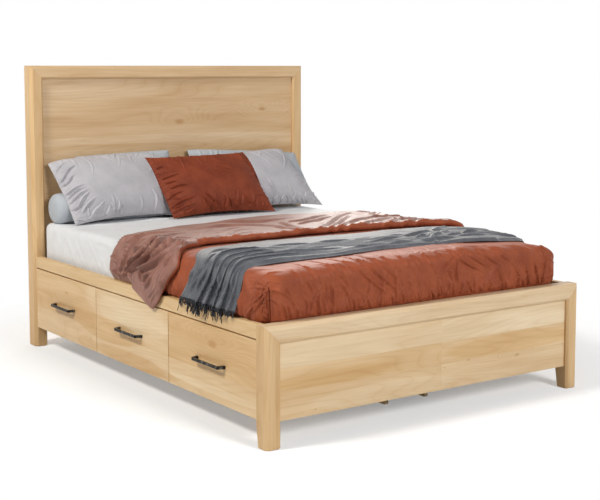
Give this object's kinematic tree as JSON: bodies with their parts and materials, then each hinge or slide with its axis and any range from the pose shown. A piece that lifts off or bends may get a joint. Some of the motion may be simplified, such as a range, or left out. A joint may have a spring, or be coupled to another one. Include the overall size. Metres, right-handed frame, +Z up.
{
  "type": "storage bed",
  "caption": "Timber queen bed with panelled headboard, low footboard and side drawers on runners, made up with sheet, duvet, fringed throw and pillows.",
  "frame": {"origin": "bottom centre of the bed's box, on the floor", "axes": "+X across the bed, to the right seen from the foot; +Y along the bed towards the headboard; +Z up"},
  "size_m": [1.696, 2.2, 1.42],
  "materials": {
    "frame_wood": "clear matt lacquered solid timber with visible grain",
    "front_wood": "clear matt lacquered solid timber boards of differing tone",
    "drawer_box_wood": "sanded plywood",
    "carcass_wood": "sanded timber board",
    "slat_pine": "planed pine",
    "handle_metal": "antique pewter, brushed and dark lacquered",
    "zinc_steel": "zinc plated",
    "glide_plastic": "moulded",
    "mattress_ticking": "quilted ticking",
    "white_sheet": "plain woven cotton",
    "rust_cotton": "washed cotton, brown-pink on the reverse",
    "rust_cushion_cotton": "washed cotton",
    "charcoal_weave": "loose woven, fringed",
    "grey_cotton": "washed cotton",
    "pale_grey_cotton": "washed cotton"
  },
  "bodies": {
    "root": {"bed_bolts": "zinc_steel", "bolster": "pale_grey_cotton", "bracket_screws": "zinc_steel", "corner_brackets": "zinc_steel", "duvet": "rust_cotton", "fitted_sheet": "white_sheet", "fixed_runners": "zinc_steel", "footboard_left_post": "frame_wood", "footboard_panel": "frame_wood", "footboard_right_post": "frame_wood", "footboard_top_rail": "frame_wood", "headboard_left_post": "frame_wood", "headboard_lower_rail": "frame_wood", "headboard_panel": "frame_wood", "headboard_right_post": "frame_wood", "headboard_top_rail": "frame_wood", "left_side_rail": "frame_wood", "left_slat_cleat": "slat_pine", "mattress": "mattress_ticking", "partition_1": "carcass_wood", "partition_2": "carcass_wood", "partition_3": "carcass_wood", "partition_4": "carcass_wood", "pillow_left_back": "pale_grey_cotton", "pillow_left_front": "grey_cotton", "pillow_right_back": "pale_grey_cotton", "pillow_right_front": "grey_cotton", "right_side_rail": "frame_wood", "right_slat_cleat": "slat_pine", "rust_cushion": "rust_cushion_cotton", "slats": "slat_pine", "spine_glides": "glide_plastic", "spine_left_board": "carcass_wood", "spine_right_board": "carcass_wood", "throw_blanket": "charcoal_weave"},
    "left_foot_drawer": {"left_foot_drawer_box": "drawer_box_wood", "left_foot_drawer_front": "front_wood", "left_foot_drawer_handle": "handle_metal", "left_foot_drawer_runners": "zinc_steel"},
    "left_middle_drawer": {"left_middle_drawer_box": "drawer_box_wood", "left_middle_drawer_front": "front_wood", "left_middle_drawer_handle": "handle_metal", "left_middle_drawer_runners": "zinc_steel"},
    "left_head_drawer": {"left_head_drawer_box": "drawer_box_wood", "left_head_drawer_front": "front_wood", "left_head_drawer_handle": "handle_metal", "left_head_drawer_runners": "zinc_steel"},
    "right_foot_drawer": {"right_foot_drawer_box": "drawer_box_wood", "right_foot_drawer_front": "front_wood", "right_foot_drawer_handle": "handle_metal", "right_foot_drawer_runners": "zinc_steel"},
    "right_middle_drawer": {"right_middle_drawer_box": "drawer_box_wood", "right_middle_drawer_front": "front_wood", "right_middle_drawer_handle": "handle_metal", "right_middle_drawer_runners": "zinc_steel"},
    "right_head_drawer": {"right_head_drawer_box": "drawer_box_wood", "right_head_drawer_front": "front_wood", "right_head_drawer_handle": "handle_metal", "right_head_drawer_runners": "zinc_steel"}
  },
  "joints": [
    {"name": "left_foot_drawer_slide", "type": "slide", "parent": "root", "child": "left_foot_drawer", "axis": [-1, 0, 0], "range_m": [0, 0.41]},
    {"name": "left_middle_drawer_slide", "type": "slide", "parent": "root", "child": "left_middle_drawer", "axis": [-1, 0, 0], "range_m": [0, 0.41]},
    {"name": "left_head_drawer_slide", "type": "slide", "parent": "root", "child": "left_head_drawer", "axis": [-1, 0, 0], "range_m": [0, 0.41]},
    {"name": "right_foot_drawer_slide", "type": "slide", "parent": "root", "child": "right_foot_drawer", "axis": [1, 0, 0], "range_m": [0, 0.41]},
    {"name": "right_middle_drawer_slide", "type": "slide", "parent": "root", "child": "right_middle_drawer", "axis": [1, 0, 0], "range_m": [0, 0.41]},
    {"name": "right_head_drawer_slide", "type": "slide", "parent": "root", "child": "right_head_drawer", "axis": [1, 0, 0], "range_m": [0, 0.41]}
  ]
}
